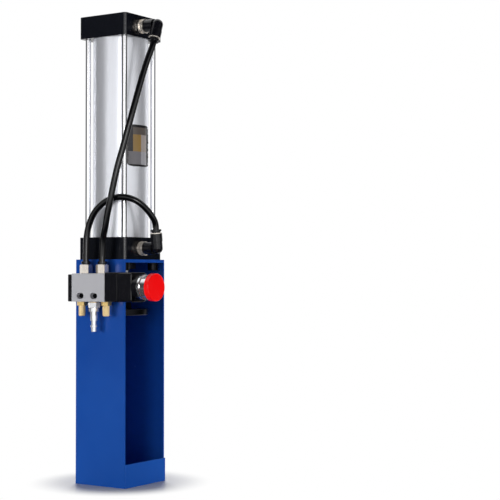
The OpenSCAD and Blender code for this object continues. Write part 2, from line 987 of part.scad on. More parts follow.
module valve_screw_nuts() {
    color(bright_steel)
        for (y = valve_screw_ys)
            translate([-inside_w / 2, y, valve_screw_z])
                rotate([0, 90, 0])
                    difference() {
                        hex_z(0, valve_nut_h, valve_nut_af);
                        rod_z(-cut, valve_nut_h + cut, valve_screw_d + 2 * seat_gap);
                    }
}

module actuator_block() {
    color(black_plastic)
        on_spool_axis()
            difference() {
                long_block(adapter_y, valve_front, valve_t, block_h, block_edge_r / 2);
                rod_y(adapter_y - cut, valve_front + cut, actuator_bore_d);
            }
}

module adapter_plate() {
    plate_step = 1;
    color(black_plastic)
        on_spool_axis()
            difference() {
                long_block(block_y, adapter_y,
                    valve_t - plate_step, block_h - 2 * plate_step, block_edge_r / 2);
                rod_y(block_y - cut, adapter_y + cut, stem_d + 2 * slip_gap);
            }
}

module button_block() {
    color(black_plastic)
        on_spool_axis()
            difference() {
                long_block(collar_y, block_y, button_block_w, block_h, block_edge_r);
                rod_y(collar_y - cut, block_y - spring_floor, spring_room_d);
                rod_y(collar_y - cut, block_y + cut, stem_d + 2 * slip_gap);
            }
}

module button_collar() {
    color(black_plastic)
        on_spool_axis()
            difference() {
                rod_y(bezel_y, collar_y, collar_d);
                rod_y(bezel_y - cut, collar_y + cut, stem_d + 2 * slip_gap);
            }
}

// Bezel with a wide rim at the back and a neck that the button's skirt slides over
module button_bezel() {
    color(bright_steel)
        on_spool_axis()
            difference() {
                union() {
                    rod_y(bezel_y - bezel_rim_l, bezel_y, bezel_d);
                    rod_y(bezel_front, bezel_y - cut, bezel_neck_d);
                }
                rod_y(bezel_front - cut, bezel_y + cut, stem_d + 2 * run_gap);
            }
}

// Hollow mushroom head with a rounded edge and a domed face
module button_cap() {
    button_r = button_d / 2;
    depth = button_rim + button_dome;
    dome_r = (pow(button_r, 2) + pow(button_dome, 2)) / (2 * button_dome);
    color(signal_red)
        on_spool_axis()
            translate([0, button_back, 0])
                rotate([90, 0, 0])
                    difference() {
                        rotate_extrude()
                            intersection() {
                                union() {
                                    square([button_r, depth - button_edge_r]);
                                    square([button_r - button_edge_r, depth]);
                                    translate([button_r - button_edge_r, depth - button_edge_r])
                                        circle(r = button_edge_r);
                                }
                                translate([0, depth - dome_r])
                                    circle(r = dome_r, $fn = 256);
                                square([button_r, depth]);
                            }
                        rod_z(-cut, button_hollow_in, button_hollow_d);
                        rod_z(0, button_hollow_in + stem_socket_in, stem_d + 2 * seat_gap);
                    }
}

module button_stem() {
    flange_y = collar_y + flange_gap;
    color(white_plastic)
        on_spool_axis() {
            rod_y(button_back - button_hollow_in - stem_socket_in, spool_tip - tip_gap, stem_d);
            rod_y(flange_y, flange_y + flange_t, flange_d);
        }
}

module button_spring() {
    spring_y = collar_y + flange_gap + flange_t;
    color(bright_steel)
        on_spool_axis()
            coil_spring(spring_y + spring_ground, block_y - spring_floor - spring_ground,
                button_spring_d, button_wire_d, button_turns, "button_spring");
}

module valve_spool() {
    land_d = spool_bore_d - 2 * land_gap;
    color(bright_steel)
        on_spool_axis()
            difference() {
                union() {
                    rod_y(spool_tip, spool_back, spool_stem_d);
                    for (y = land_ys)
                        rod_y(y - land_l / 2, y + land_l / 2, land_d);
                }
                for (y = land_ys)
                    translate([0, y, 0])
                        rotate([90, 0, 0])
                            ring_z(-spool_ring_d / 2, spool_ring_d / 2,
                                spool_bore_d + cut, spool_bore_d - 2 * spool_ring_d);
            }
}

module spool_seals() {
    color(rubber)
        on_spool_axis()
            for (y = land_ys)
                translate([0, y, 0])
                    rotate([90, 0, 0])
                        seal_torus(spool_bore_d - spool_ring_d - run_gap + seat_gap,
                            spool_ring_d - run_gap - seat_gap);
}

module spool_spring() {
    color(bright_steel)
        on_spool_axis()
            coil_spring(spool_back + spring_ground, valve_back + pocket_l - spring_ground,
                spool_spring_d, spool_wire_d, spool_turns, "spool_spring");
}

module at_exhausts() {
    for (y = exhaust_ys)
        translate([valve_x, y, valve_bottom])
            children();
}

module silencer_bases() {
    color(brass)
        at_exhausts()
            difference() {
                union() {
                    hex_z(-silencer_hex_h, 0, silencer_af);
                    rod_z(-cut, port_thread_l, valve_port_d);
                }
                rod_z(-silencer_hex_h - cut, port_thread_l + cut, fitting_hole_d);
            }
}

module silencer_elements() {
    tip = 1;
    color(brass)
        at_exhausts()
            translate([0, 0, -silencer_hex_h - silencer_l]) {
                cylinder(h = tip, d1 = silencer_d - 2 * tip, d2 = silencer_d);
                rod_z(tip, silencer_l, silencer_d);
            }
}

module inlet_washer() {
    color(brass)
        translate([valve_x, valve_y, valve_bottom])
            ring_z(-inlet_washer_t, 0, plug_af, valve_port_d + 2 * slip_gap);
}

// Quick-connect plug: hexagon, collar, neck, locking groove, flange and tip, all turned from one bar
module inlet_plug() {
    groove_d = 6.5;
    color(nickel)
        translate([valve_x, valve_y, valve_bottom])
            difference() {
                union() {
                    rod_z(-inlet_washer_t - cut, port_thread_l, valve_port_d);
                    hex_z(-plug_steps[0], -inlet_washer_t, plug_af);
                    rod_z(-plug_steps[1], -plug_steps[0] + cut, plug_collar_d);
                    rod_z(-plug_steps[2], -plug_steps[1] + cut, plug_neck_d);
                    rod_z(-plug_steps[3], -plug_steps[2] + cut, groove_d);
                    rod_z(-plug_steps[4], -plug_steps[3], plug_neck_d);
                    rod_z(-plug_steps[5], -plug_steps[4] + cut, plug_tip_d);
                }
                rod_z(-plug_steps[5] - cut, port_thread_l + cut, plug_hole_d);
            }
}

// Push-in fittings

// What a fitting's mouth leaves open: room for the collar and seal, then the hose's seat
module mouth_cut() {
    rod_z(-recess_in, cut, 2 * recess_r);
    rod_z(-tube_in, 0, tube_d + 2 * slip_gap);
}

// Straight fitting with its mouth at Z = 0
module straight_fitting() {
    bevel = 1;
    across = fitting_af / cos(30);
    difference() {
        union() {
            intersection() {
                hex_z(-fitting_h, 0, fitting_af);
                union() {
                    rod_z(-fitting_h, -bevel, across);
                    translate([0, 0, -bevel])
                        cylinder(h = bevel, d1 = across, d2 = across - 2 * bevel);
                }
            }
            rod_z(-fitting_h - port_thread_l, -fitting_h + cut, valve_port_d);
        }
        mouth_cut();
        rod_z(-fitting_h - port_thread_l - cut, -tube_in + cut, fitting_hole_d);
    }
}

module rear_port_fitting() {
    color(nickel)
        valve_mouth_frame(outlet_ys[0])
            straight_fitting();
}

module front_port_fitting() {
    color(nickel)
        valve_mouth_frame(outlet_ys[1])
            straight_fitting();
}

// Bright base of an elbow: rim, hexagon and rim, with the thread behind
module elbow_stud() {
    rim = elbow_base_l / 4;
    color(nickel)
        difference() {
            union() {
                rod_z(port_end_gap - port_l, cut, port_d);
                rod_z(0, rim, elbow_base_d);
                hex_z(rim, elbow_base_l - rim, elbow_base_d * cos(30));
                rod_z(elbow_base_l - rim, elbow_base_l, elbow_base_d);
            }
            rod_z(-port_l - cut, elbow_base_l + cut, fitting_hole_d);
        }
}

module lower_elbow_stud() {
    lower_port_frame()
        elbow_stud();
}

module upper_elbow_stud() {
    upper_port_frame()
        elbow_stud();
}

// Elbow: a stout inlet leg, a slimmer knuckle with a round end, and a sleeve round the mouth
module elbow_body() {
    color(black_plastic)
        difference() {
            union() {
                rod_z(elbow_base_l, elbow_inlet_end, elbow_inlet_d);
                translate([0, 0, elbow_reach])
                    sphere(d = elbow_outlet_d);
                elbow_mouth_frame() {
                    rod_z(-elbow_outlet_l, 0, elbow_outlet_d);
                    rod_z(-elbow_sleeve_l, 0, elbow_sleeve_d);
                }
            }
            elbow_mouth_frame() {
                mouth_cut();
                rod_z(-elbow_outlet_l, -tube_in + cut, fitting_hole_d);
            }
            rod_z(elbow_base_l - cut, elbow_reach, fitting_hole_d);
        }
}

module lower_elbow_body() {
    lower_port_frame()
        elbow_body();
}

module upper_elbow_body() {
    upper_port_frame()
        elbow_body();
}

module elbow_ring() {
    elbow_mouth_frame()
        ring_z(0, ring_t, elbow_sleeve_d - 2 * ring_step, 2 * recess_r);
}

module elbow_rings() {
    color(nickel) {
        lower_port_frame()
            elbow_ring();
        upper_port_frame()
            elbow_ring();
    }
}

// Release collar: a sleeve in the mouth and a flange outside, pressed in to let the hose go
module release_collar(mouth_rise, lip) {
    flange_z = mouth_rise + collar_gap;
    color(black_plastic)
        difference() {
            union() {
                rod_z(-collar_in, flange_z + cut, 2 * sleeve_r);
                rod_z(flange_z, flange_z + collar_t, 2 * (sleeve_r + lip));
            }
            rod_z(-collar_in - cut, flange_z + collar_t + cut, tube_d + 2 * slip_gap);
        }
}

module rear_port_collar() {
    valve_mouth_frame(outlet_ys[0])
        release_collar(0, valve_collar_lip);
}

module front_port_collar() {
    valve_mouth_frame(outlet_ys[1])
        release_collar(0, valve_collar_lip);
}

module lower_elbow_collar() {
    lower_port_frame()
        elbow_mouth_frame()
            release_collar(ring_t, elbow_collar_lip);
}

module upper_elbow_collar() {
    upper_port_frame()
        elbow_mouth_frame()
            release_collar(ring_t, elbow_collar_lip);
}

module tube_seals() {
    color(rubber)
        at_every_mouth()
            ring_z(-recess_in, -recess_in + seal_h, 2 * (recess_r - seat_gap), tube_d + 2 * slip_gap);
}

// Hoses

// Points along a fitting's axis, from the hose's seat to a straight run outside
function stub(mouth, way) = [for (s = [-tube_in, 0, collar_gap + collar_t + straight_run]) mouth + s * way];
function turned_round(p) = [for (i = [len(p) - 1 : -1 : 0]) p[i]];
function raised(p) = [for (q = p) q + [0, 0, housing_h]];

lower_way = [-sin(lower_elbow_lean), 0, cos(lower_elbow_lean)];
upper_way = [-sin(upper_elbow_lean), 0, -cos(upper_elbow_lean)];
lower_elbow = [-port_left, cap_front - elbow_reach, lower_cap_z + port_in];
upper_elbow = [-port_left, cap_front - elbow_reach, upper_cap_z - port_in];
lower_route = concat(
    stub([valve_x, outlet_ys[0], valve_top + fitting_h], [0, 0, 1]),
    raised(lower_bends),
    turned_round(stub(lower_elbow + elbow_outlet_l * lower_way, lower_way))
);
upper_route = concat(
    stub([valve_x, outlet_ys[1], valve_top + fitting_h], [0, 0, 1]),
    raised(upper_bends),
    turned_round(stub(upper_elbow + elbow_outlet_l * upper_way, upper_way))
);

module lower_hose() {
    color(rubber)
        swept_tube(finer(lower_route, hose_steps), hose_side_way, tube_r, hose_sides);
}

module upper_hose() {
    color(rubber)
        swept_tube(finer(upper_route, hose_steps), hose_side_way, tube_r, hose_sides);
}

housing_channel();
floor_plate();
front_lip();
top_plate();
mounting_screws();
lock_washers();
front_cap();
rear_cap();
cylinder_barrel();
barrel_label();
tie_rods();
tie_rod_nuts();
rod_bush();
rod_seal();
barrel_seals();
lower_cushion_needle();
upper_cushion_needle();
piston();
piston_seals();
piston_guide_ring();
cushion_sleeve();
piston_nut();
piston_rod();
jam_nut();
crush_disc();
valve_body();
valve_end_cap();
end_cap_screws();
valve_screws();
valve_screw_nuts();
actuator_block();
adapter_plate();
button_block();
button_collar();
button_bezel();
button_cap();
button_stem();
button_spring();
valve_spool();
spool_seals();
spool_spring();
silencer_bases();
silencer_elements();
inlet_washer();
inlet_plug();
rear_port_fitting();
front_port_fitting();
lower_elbow_stud();
upper_elbow_stud();
lower_elbow_body();
upper_elbow_body();
elbow_rings();
rear_port_collar();
front_port_collar();
lower_elbow_collar();
upper_elbow_collar();
tube_seals();
lower_hose();
upper_hose();
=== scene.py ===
# %% [markdown]
# # Dressing a pneumatic can crusher
# The machine is an air cylinder that stands on a blue steel box. A red palm button works a small valve, and
# two black hoses carry the air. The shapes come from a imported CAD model, in metres, and stay where they
# are. This lesson gives them their finishes, and makes anew the few pieces that CAD draws too plainly.

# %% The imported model
import json
import math

import bmesh
import bpy
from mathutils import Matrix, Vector, noise


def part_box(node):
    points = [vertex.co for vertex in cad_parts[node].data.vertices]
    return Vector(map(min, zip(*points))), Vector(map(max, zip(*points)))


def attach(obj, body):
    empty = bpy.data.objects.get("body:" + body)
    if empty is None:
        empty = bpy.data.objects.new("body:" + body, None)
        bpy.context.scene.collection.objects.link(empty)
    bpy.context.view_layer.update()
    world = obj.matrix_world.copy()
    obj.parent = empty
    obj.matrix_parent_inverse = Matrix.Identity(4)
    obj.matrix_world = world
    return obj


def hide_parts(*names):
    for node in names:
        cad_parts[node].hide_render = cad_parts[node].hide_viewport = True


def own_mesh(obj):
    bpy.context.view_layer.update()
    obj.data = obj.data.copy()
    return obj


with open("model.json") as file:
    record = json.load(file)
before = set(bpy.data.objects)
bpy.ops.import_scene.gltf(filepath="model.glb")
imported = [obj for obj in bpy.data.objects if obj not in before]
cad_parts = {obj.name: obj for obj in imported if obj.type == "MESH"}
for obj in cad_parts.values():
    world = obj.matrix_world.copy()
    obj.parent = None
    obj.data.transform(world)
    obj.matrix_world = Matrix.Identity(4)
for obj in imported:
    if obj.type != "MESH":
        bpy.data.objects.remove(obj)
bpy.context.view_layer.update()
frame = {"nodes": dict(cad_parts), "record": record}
cad_nodes = frame["nodes"]
MM = 0.001

# %% [markdown]
# ## The camera
# The photograph was taken with a long lens, a little above the valve, from the front left. Its place was
# worked out from the straight edges of the machine. A long lens keeps upright edges nearly parallel, so the
# lens matters as much as the place.

# %% Camera
# In metres and degrees, and in millimetres for the lens and the sensor.
CAMERA_PLACE = (-1.36456, -1.09258, 0.26647)
CAMERA_TURN = (91.02, 0.0, -56.7855)
CAMERA_LENS = 97.43
CAMERA_SENSOR = 36.0

camera_data = bpy.data.cameras.new("photo_camera")
camera_data.sensor_width = CAMERA_SENSOR
camera_data.lens = CAMERA_LENS
camera = bpy.data.objects.new("photo_camera", camera_data)
camera.location = CAMERA_PLACE
camera.rotation_euler = [math.radians(a) for a in CAMERA_TURN]
bpy.context.scene.collection.objects.link(camera)
bpy.context.scene.camera = camera
print("camera", round(Vector(CAMERA_PLACE).length, 2), "m from the machine's foot")

# %% [markdown]
# ## The hoses
# Each hose is stiff polyurethane tube of 8 mm. It is pushed 13 mm into a fitting, leaves it straight, and
# then bends as a spring would, because the tube is far stiffer than its weight needs. A curve object with a
# round bevel is the natural way: its one spline is the middle of the tube. The points are those of the CAD
# route, and a Catmull-Rom curve through them gives the even bends.

# %% Hose routes
def extent(node, axis):
    """Where a CAD node begins and ends along x, y or z, in metres to the micrometre."""
    return [round(corner["xyz".index(axis)], 6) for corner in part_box(node)]


# The routes run from the valve's port to the elbow, in millimetres.
HOUSING_TOP = extent("top_plate", "z")[1] / MM
LOWER_ROUTE = [
    (-52, 13.5, 265.4), (-52, 13.5, 278.4), (-52, 13.5, 290.4),
    (-52, 12.5, HOUSING_TOP + 29), (-51, 8.5, HOUSING_TOP + 46), (-49.5, 1, HOUSING_TOP + 60),
    (-47, -10, HOUSING_TOP + 70.5), (-43.5, -21, HOUSING_TOP + 76), (-38.5, -33, HOUSING_TOP + 78),
    (-32.5, -44, HOUSING_TOP + 75.5), (-26, -52, HOUSING_TOP + 70), (-19, -58, HOUSING_TOP + 61.5),
    (-13, -61.8, HOUSING_TOP + 52.5),
    (-8.717, -62.9, 329.273), (-7.255, -62.9, 317.362), (-5.67, -62.9, 304.459),
]
UPPER_ROUTE = [
    (-52, -12.5, 265.4), (-52, -12.5, 278.4), (-52, -12.5, 290.4),
    (-53, -14.5, HOUSING_TOP + 25), (-54.5, -19, HOUSING_TOP + 38), (-55, -23, HOUSING_TOP + 55),
    (-54.5, -27, HOUSING_TOP + 72), (-53.5, -30.5, HOUSING_TOP + 89), (-51.5, -36, HOUSING_TOP + 114),
    (-47.5, -42, HOUSING_TOP + 140), (-42.5, -47.5, HOUSING_TOP + 168), (-37.5, -51.3, HOUSING_TOP + 191),
    (-30.8, -55.2, HOUSING_TOP + 218), (-23, -59, HOUSING_TOP + 245),
    (-15.432, -62.9, 552.339), (-11.327, -62.9, 563.616), (-6.881, -62.9, 575.832),
]


def smooth_route(route, steps):
    """Catmull-Rom points through a route given in millimetres, as vectors in metres."""
    p = [Vector(q) * MM for q in route]
    smooth = []
    for i in range(len(p) - 1):
        a, b, c, d = p[max(i - 1, 0)], p[i], p[i + 1], p[min(i + 2, len(p) - 1)]
        for j in range(steps):
            t = j / steps
            smooth.append(b + 0.5 * t * ((c - a) + t * ((2 * a - 5 * b + 4 * c - d)
                                                        + t * (3 * b - a - 3 * c + d))))
    return smooth + [p[-1]]


print("routes of", len(LOWER_ROUTE), "and", len(UPPER_ROUTE), "points")

# %% Hose tubes
HOSE_D = 8 * MM
HOSE_STEPS = 8
TUBE_ROUND = 6


def tube_curve(name, line, diameter):
    """A round tube along one open spline. Its points hold the radius, so its box fits the tube."""
    curve = bpy.data.curves.new(name, "CURVE")
    curve.dimensions = "3D"
    curve.bevel_depth = 1.0
    curve.bevel_resolution = TUBE_ROUND
    curve.use_fill_caps = True
    spline = curve.splines.new("POLY")
    spline.points.add(len(line) - 1)
    for point, place in zip(spline.points, line):
        point.co = (*place, 1.0)
        point.radius = diameter / 2
    spline.use_smooth = True
    made = bpy.data.objects.new(name, curve)
    bpy.context.scene.collection.objects.link(made)
    return made


hoses = []
for name, route, cad_hose in (("lower_air_hose", LOWER_ROUTE, "lower_hose"),
                              ("upper_air_hose", UPPER_ROUTE, "upper_hose")):
    line = smooth_route(route, HOSE_STEPS)
    length = sum((b - a).length for a, b in zip(line, line[1:]))
    hose = tube_curve(name, line, HOSE_D)
    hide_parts(cad_hose)
    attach(hose, "frame")
    hoses.append(hose)
    print(name, "is", round(length, 3), "m long")

# %% [markdown]
# ## Drawing finishes as sums
# A finish is a small graph of nodes. Wiring the nodes one by one hides the idea, so one class wraps an
# output socket and lets Python's operators add the Math nodes, and one method makes every other node. A
# texture is read in object space, which here is the machine's own frame in metres, so a grain of 2 mm is a
# noise of scale 500 on every piece.

# %% Wires
def srgb(red, green, blue):
    """A colour given from 0 to 255, as the linear colour that a shader mixes."""
    parts = [c / 255 for c in (red, green, blue)]
    return (*[c / 12.92 if c <= 0.04045 else ((c + 0.055) / 1.055) ** 2.4 for c in parts], 1.0)


class Wire:
    """An output socket. Arithmetic on it adds Math nodes to its sheet."""

    def __init__(self, sheet, made, output):
        self.sheet = sheet
        self.made = made
        self.socket = made.outputs[output]

    def beside(self, output):
        """Another output of the same node."""
        return Wire(self.sheet, self.made, output)

    def maths(self, operation, *values):
        """One Math node on its values, in their order."""
        return self.sheet.node("ShaderNodeMath", {"operation": operation}, dict(enumerate(values)))

    def __add__(self, other):
        return self.maths("ADD", self, other)

    def __sub__(self, other):
        return self.maths("SUBTRACT", self, other)

    def __rsub__(self, other):
        return self.maths("SUBTRACT", other, self)

    def __mul__(self, other):
        return self.maths("MULTIPLY", self, other)

    def __gt__(self, other):
        return self.maths("GREATER_THAN", self, other)

    def __lt__(self, other):
        return self.maths("LESS_THAN", self, other)

    __radd__ = __add__
    __rmul__ = __mul__


print("wires that add up")


# %% Node sheets
class NodeSheet:
    """A node tree that is drawn from a clean start."""

    def __init__(self, tree):
        self.tree = tree
        tree.nodes.clear()

    def node(self, kind, settings=None, sockets=None, output=0):
        """Makes one node: its settings first, then the values or wires of its sockets."""
        made = self.tree.nodes.new(kind)
        for name, value in (settings or {}).items():
            setattr(made, name, value)
        for key, value in (sockets or {}).items():
            if isinstance(value, Wire):
                self.tree.links.new(value.socket, made.inputs[key])
            else:
                made.inputs[key].default_value = value
        return Wire(self, made, output) if made.outputs else None

    def place(self, scale=(1, 1, 1)):
        """The machine's own frame, stretched by a scale."""
        where = self.node("ShaderNodeTexCoord", output="Object")
        return self.node("ShaderNodeVectorMath", {"operation": "MULTIPLY"}, {0: where, 1: scale})

    def grain(self, where, scale, detail=2.0):
        """Soft noise from about 0 to 1, with scale grains to the metre."""
        return self.node("ShaderNodeTexNoise", {}, {"Vector": where, "Scale": scale, "Detail": detail})

    def blend(self, share, first, second):
        """From the first colour to the second as the share goes from 0 to 1."""
        return self.node("ShaderNodeMix", {"data_type": "RGBA"}, {0: share, 6: first, 7: second}, output=2)

    def length(self, vector):
        """How long a vector is."""
        return self.node("ShaderNodeVectorMath", {"operation": "LENGTH"}, {0: vector}, output="Value")

    def ramp(self, value, low, high):
        """A soft step from 0 at low to 1 at high."""
        return self.node("ShaderNodeMapRange", {"interpolation_type": "SMOOTHSTEP"},
                         {"Value": value, "From Min": low, "From Max": high})

    def relief(self, height, depth):
        """Normals of a surface whose height runs over depth metres."""
        return self.node("ShaderNodeBump", {}, {"Height": height, "Distance": depth})

    def surface(self, sockets):
        """Ends the sheet in one Principled shader."""
        shader = self.node("ShaderNodeBsdfPrincipled", {}, sockets)
        self.node("ShaderNodeOutputMaterial", {}, {"Surface": shader})


print("drawing kit ready")

# %% [markdown]
# ## The studio
# The photograph is a product shot on white. On shiny metal one sees the room more than the metal: the
# barrel has a white stripe in its middle, a grey one on each side, and white again at its edges. So the
# room is bright in front and behind, and dark at both sides, as when a photographer sets up two dark
# panels. Above the camera it is dark too, or the hoses would look grey. The world gives the glossy rays
# that room, gives the camera plain white, and lights matt surfaces evenly.

# %% Room
TOWARDS_CAMERA = Vector((CAMERA_PLACE[0], CAMERA_PLACE[1], 0.0)).normalized()
VIEW_RIGHT = Vector((-TOWARDS_CAMERA.y, TOWARDS_CAMERA.x, 0.0))
# Where each dark panel begins, is full, starts to fade and ends, in degrees round from the camera.
LEFT_PANEL = [math.radians(a) for a in (50, 77, 123, 139)]
RIGHT_PANEL = [math.radians(a) for a in (48, 84, 118, 132)]
# How steeply a direction climbs where the panels end, and where the dark above the camera begins.
PANEL_TOP = (0.4, 0.75)
DARK_ABOVE = (0.2, 0.4)
# How far a direction points at the camera where that dark begins.
FRONT_HALF = (-0.1, 0.3)
EVEN_LIGHT = 0.18

world = bpy.data.worlds.new("studio")
world.use_nodes = True
bpy.context.scene.world = world
room = NodeSheet(world.node_tree)


def along(sheet, way, axis):
    """How far a vector reaches along an axis."""
    return sheet.node("ShaderNodeVectorMath", {"operation": "DOT_PRODUCT"}, {0: way, 1: axis},
                      output="Value")


def panels(sheet, way):
    """1 where a direction points at a dark panel, 0 elsewhere."""
    def panel(turn, begin, full, still_full, end):
        return sheet.ramp(turn, begin, full) * (1 - sheet.ramp(turn, still_full, end))

    aside = along(sheet, way, VIEW_RIGHT)
    turn = aside.maths("ARCTAN2", aside, along(sheet, way, TOWARDS_CAMERA))
    return panel(turn * -1, *LEFT_PANEL) + panel(turn, *RIGHT_PANEL)


def ray_kinds(sheet):
    """Two masks: rays straight from the camera, and rays that come by a mirror or through glass."""
    straight = sheet.node("ShaderNodeLightPath", output="Is Camera Ray")
    return straight, straight.maths("MAXIMUM", straight.beside("Is Glossy Ray"),
                                    straight.beside("Is Transmission Ray"))


way = room.node("ShaderNodeTexCoord", output="Generated")
up = along(room, way, (0, 0, 1))
above = room.ramp(up, *DARK_ABOVE) * room.ramp(along(room, way, TOWARDS_CAMERA), *FRONT_HALF)
shine = (1 - panels(room, way) * (1 - room.ramp(up, *PANEL_TOP))) * (1 - above)
straight, mirrored = ray_kinds(room)
strength = straight + (1 - straight) * (mirrored * shine + (1 - mirrored) * EVEN_LIGHT)
light = room.node("ShaderNodeBackground", {}, {"Color": (1, 1, 1, 1), "Strength": strength})
room.node("ShaderNodeOutputWorld", {}, {"Surface": light})
bpy.context.scene.view_settings.view_transform = "Standard"
print("room with two dark panels")

# %% [markdown]
# ## Lamps
# The left wall and the front each have a softbox of their own. Both stand low and well to the side, so that
# they shine neither into the box nor much on the floor. A third hangs overhead, behind the machine, and
# throws the shadow forward. A fourth stands to the left of the camera: there the left wall shades the back
# of the box, and the inside darkens towards that wall as it does in the photograph. These four only light.
# The last one, to the right of the camera, only shows in mirrors: it draws the bright lines on hoses, rods
# and rounded edges.

# %% Lamps
AIM = Vector((0.0, 0.0, 0.28))
EYE_LEVEL = Vector((0.0, 0.0, 0.5))
CAMERA_LEFT = 1.85 * TOWARDS_CAMERA - 0.75 * VIEW_RIGHT + EYE_LEVEL
CAMERA_RIGHT = 2.0 * TOWARDS_CAMERA + 0.15 * VIEW_RIGHT + EYE_LEVEL
# Place, width and height in metres, watts, and whether the lamp shows in mirrors and does not light.
SOFTBOXES = {
    "left_softbox": ((-1.85, 0.7, 0.17), (0.8, 0.8), 27.5, False),
    "front_softbox": ((0.7, -1.85, 0.17), (0.8, 0.8), 33.0, False),
    "top_softbox": ((0.55, 0.45, 2.0), (0.4, 0.4), 28.0, False),
    "camera_softbox": (CAMERA_LEFT, (0.5, 0.7), 6.5, False),
    "mirrored_softbox": (CAMERA_RIGHT, (0.5, 0.7), 6.5, True),
}

for name, (place, size, watts, shows) in SOFTBOXES.items():
    lamp_data = bpy.data.lights.new(name, "AREA")
    lamp_data.shape = "RECTANGLE"
    lamp_data.size, lamp_data.size_y = size
    lamp_data.energy = watts
    lamp = bpy.data.objects.new(name, lamp_data)
    lamp.location = place
    lamp.rotation_euler = (AIM - Vector(place)).to_track_quat("-Z", "Y").to_euler()
    lamp.visible_glossy = shows
    lamp.visible_diffuse = not shows
    lamp.visible_camera = False
    bpy.context.scene.collection.objects.link(lamp)
print(len(SOFTBOXES), "softboxes")

# %% [markdown]
# ## The floor
# Close to the machine the floor is grey paper. It keeps the real shadow, and its grey paints shade as well:
# a grey halo round the foot. Farther off it turns into the same white as the backdrop, so no horizon shows.
# Mirrors see that white too, except under the dark panels and close to the camera.

# %% Floor
FLOOR_SIZE = 40.0
# Fades in metres from the machine's foot: seen by the camera, seen in mirrors, and towards the camera.
FLOOR_FADE = (0.06, 0.12)
MIRROR_FADE = (0.8, 2.5)
FRONT_FLOOR = (-0.15, -0.02)

bpy.ops.mesh.primitive_plane_add(size=FLOOR_SIZE)
floor = bpy.context.object
floor.name = "studio_floor"
floor_look = bpy.data.materials.new("floor_paper")
floor_look.use_nodes = True
paper = NodeSheet(floor_look.node_tree)
spot = paper.place()
away = paper.length(spot)
straight, mirrored = ray_kinds(paper)
whiten = straight.maths("MAXIMUM", straight * paper.ramp(away, *FLOOR_FADE), mirrored)
# The grey of this paper is painted shade round the foot, on top of the real shadow. The white fade hides it
# farther off.
matt = paper.node("ShaderNodeBsdfPrincipled", {}, {
    "Base Color": srgb(205, 205, 208), "Roughness": 0.3, "Specular IOR Level": 0.06})
near = (1 - paper.ramp(away, *MIRROR_FADE)) * paper.ramp(along(paper, spot, TOWARDS_CAMERA), *FRONT_FLOOR)
dark = mirrored * near.maths("MAXIMUM", near, panels(paper, spot))
white = paper.node("ShaderNodeEmission", {}, {"Strength": 1.0})
black = paper.node("ShaderNodeEmission", {}, {"Strength": 0.0})
seen = paper.node("ShaderNodeMixShader", {}, {0: dark, 1: white, 2: black})
cover = paper.node("ShaderNodeMixShader", {}, {0: whiten, 1: matt, 2: seen})
paper.node("ShaderNodeOutputMaterial", {}, {"Surface": cover})
floor.data.materials.append(floor_look)
print("white floor that keeps the shadow")

# %% [markdown]
# ## Blue enamel
# The box is folded steel with a gloss enamel baked on. Such a coat is never quite flat: it dries with a
# slight orange peel, a few millimetres across, and its colour drifts a little over the sheet. A flat blue
# would look like plastic, so a slow noise moves the colour and two finer ones roughen the gloss. The blue
# is also painted lighter towards the foot than at the top: painted light, as if more light fell low down.

# %% Enamel
# Heights in metres over which the blue is painted lighter towards the foot: painted light.
PAINTED_LIGHT_FOOT = (20 * MM, 260 * MM)
finishes = {}


def finish(slot):
    """A clean sheet for one of the record's material slots."""
    material = bpy.data.materials.new(slot + "_finish")
    material.use_nodes = True
    finishes[slot] = material
    return NodeSheet(material.node_tree)


enamel = finish("blue_paint")
at = enamel.place()
up = enamel.node("ShaderNodeSeparateXYZ", {}, {0: at}, output="Z")
# Half of this share is a slow drift of the enamel's colour. The other half is painted light that makes the
# foot lighter.
drift_and_painted_light = 0.5 * enamel.grain(at, 16) + 0.5 * (1 - enamel.ramp(up, *PAINTED_LIGHT_FOOT))
enamel.surface({
    "Base Color": enamel.blend(drift_and_painted_light, srgb(15, 62, 144), srgb(29, 84, 172)),
    "Roughness": 0.18 + 0.12 * enamel.grain(at, 60, 4),
    "Normal": enamel.relief(enamel.grain(at, 380, 1) + 0.25 * enamel.grain(at, 2200, 0), 0.03 * MM),
    "Specular IOR Level": 0.3,
})
print("blue enamel with orange peel")

# %% [markdown]
# ## The barrel
# The barrel is drawn aluminium tube with a satin anodised skin, so its grain runs up and down. A picture of
# scratches would need unwrapping. A noise that is squeezed across the tube and stretched along it gives the
# same lines. Metal has the colour of what it mirrors, so the grain goes mostly into the roughness and a
# very shallow relief.

# %% Barrel
tube = finish("barrel_aluminium")
drawn = tube.grain(tube.place((1500, 1500, 5)), 1, 3)
tube.surface({
    "Base Color": tube.blend(drawn, srgb(238, 241, 250), srgb(250, 251, 255)),
    "Metallic": 0.65,
    "Roughness": 0.3 + 0.1 * drawn,
    "Normal": tube.relief(drawn, 0.003 * MM),
})
print("drawn aluminium")

# %% [markdown]
# ## Rods
# The tie rods are ground steel, bright as chrome. The piston rod shares their slot, but it is honed to a
# softer sheen so that it keeps its oil. It stands on the machine's axis, so the distance from the axis
# tells the two apart, and one finish does for both.

# %% Rods
PISTON_ROD_R = 12 * MM

rod = finish("bright_steel")
ground = rod.grain(rod.place((300, 300, 2600)), 1, 2)
honed = rod.length(rod.place((1, 1, 0))) < PISTON_ROD_R
rod.surface({
    "Base Color": rod.blend(ground, srgb(222, 223, 226), srgb(240, 240, 242)),
    "Metallic": 1 - 0.35 * honed,
    "Roughness": 0.04 + 0.05 * ground + 0.2 * honed,
})
print("ground and honed steel")

# %% [markdown]
# ## The valve body
# The valve body was milled from aluminium bar and then bead blasted to a dull, even grey. The beads leave
# pits too small to see one by one. A fine noise with the same grain every way stands for them, and it is
# matt enough that the colour counts more than the room.

